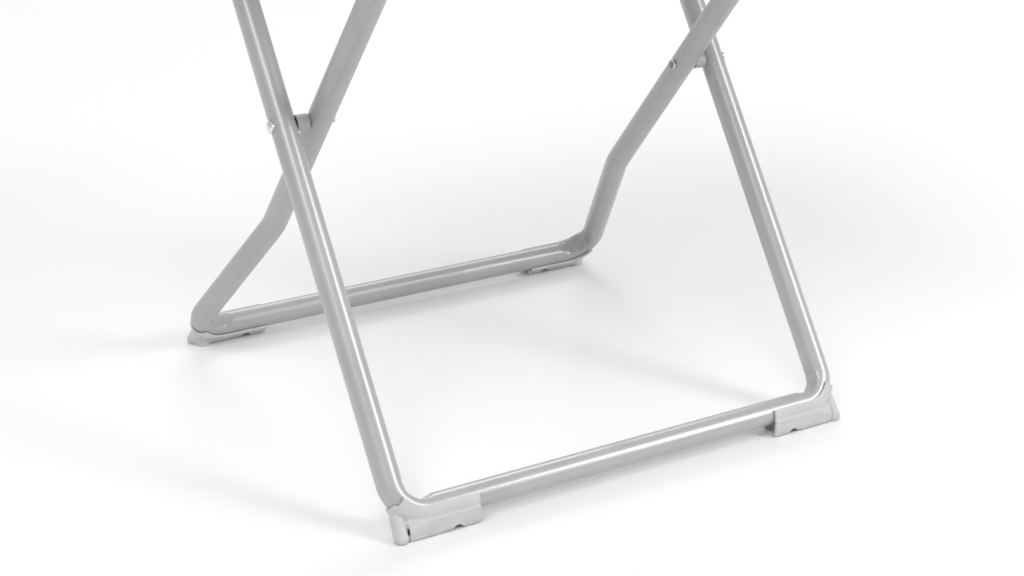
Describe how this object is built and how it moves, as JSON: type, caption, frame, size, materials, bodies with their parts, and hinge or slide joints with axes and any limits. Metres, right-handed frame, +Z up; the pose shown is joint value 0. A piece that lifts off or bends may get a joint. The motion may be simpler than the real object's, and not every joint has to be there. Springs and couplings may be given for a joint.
{
  "type": "folding table",
  "caption": "Personal folding table: crossed U-shaped tube legs with plastic corner shoes, hinged under a hollow moulded top with hook notches for height.",
  "frame": {"origin": "on the floor under the middle of the open table", "axes": "+X along the floor bars, -Y towards the front edge where the height bar hooks in, +Z up"},
  "size_m": [0.76, 0.5, 0.683],
  "materials": {
    "top_plastic": "blow-moulded polyethylene with a fine pebbled skin",
    "leg_paint": "light grey semi-gloss powder coat",
    "rail_paint": "grey satin powder coat",
    "shoe_plastic": "satin moulded polypropylene",
    "plug_plastic": "satin moulded polyethylene",
    "cap_plastic": "satin black nylon",
    "spacer_nylon": "pale natural nylon",
    "zinc": "bright zinc plate",
    "spring_steel": "oiled spring steel"
  },
  "bodies": {
    "tabletop": {"tabletop": "top_plastic", "left_rail": "rail_paint", "right_rail": "rail_paint", "rail_screws": "zinc", "left_bar_latch": "spring_steel", "right_bar_latch": "spring_steel", "latch_screws": "zinc"},
    "outer_legs": {"outer_frame": "leg_paint", "front_left_shoe": "shoe_plastic", "front_right_shoe": "shoe_plastic", "left_hinge_rivet": "zinc", "right_hinge_rivet": "zinc", "left_hinge_spacer": "spacer_nylon", "right_hinge_spacer": "spacer_nylon", "outer_left_plug": "plug_plastic", "outer_right_plug": "plug_plastic", "left_pivot_rivet": "zinc", "right_pivot_rivet": "zinc", "left_pivot_spacer": "spacer_nylon", "right_pivot_spacer": "spacer_nylon"},
    "inner_legs": {"inner_frame": "leg_paint", "rear_left_shoe": "shoe_plastic", "rear_right_shoe": "shoe_plastic", "height_bar": "leg_paint", "left_bar_cap": "cap_plastic", "right_bar_cap": "cap_plastic", "inner_left_plug": "plug_plastic", "inner_right_plug": "plug_plastic"}
  },
  "joints": [
    {"name": "leg_fold", "type": "hinge", "parent": "tabletop", "child": "outer_legs", "pos_m": [0, 0.231, 0.629], "axis": [-1, 0, 0], "range_deg": [0, 49], "deforming": ["left_bar_latch", "right_bar_latch"]},
    {"name": "inner_leg_fold", "type": "hinge", "parent": "outer_legs", "child": "inner_legs", "pos_m": [0, 0, 0.325], "axis": [1, 0, 0], "range_deg": [0, 98]}
  ],
  "couplings": [
    {"joint": "inner_leg_fold", "follows": "leg_fold", "ratio": 2}
  ]
}
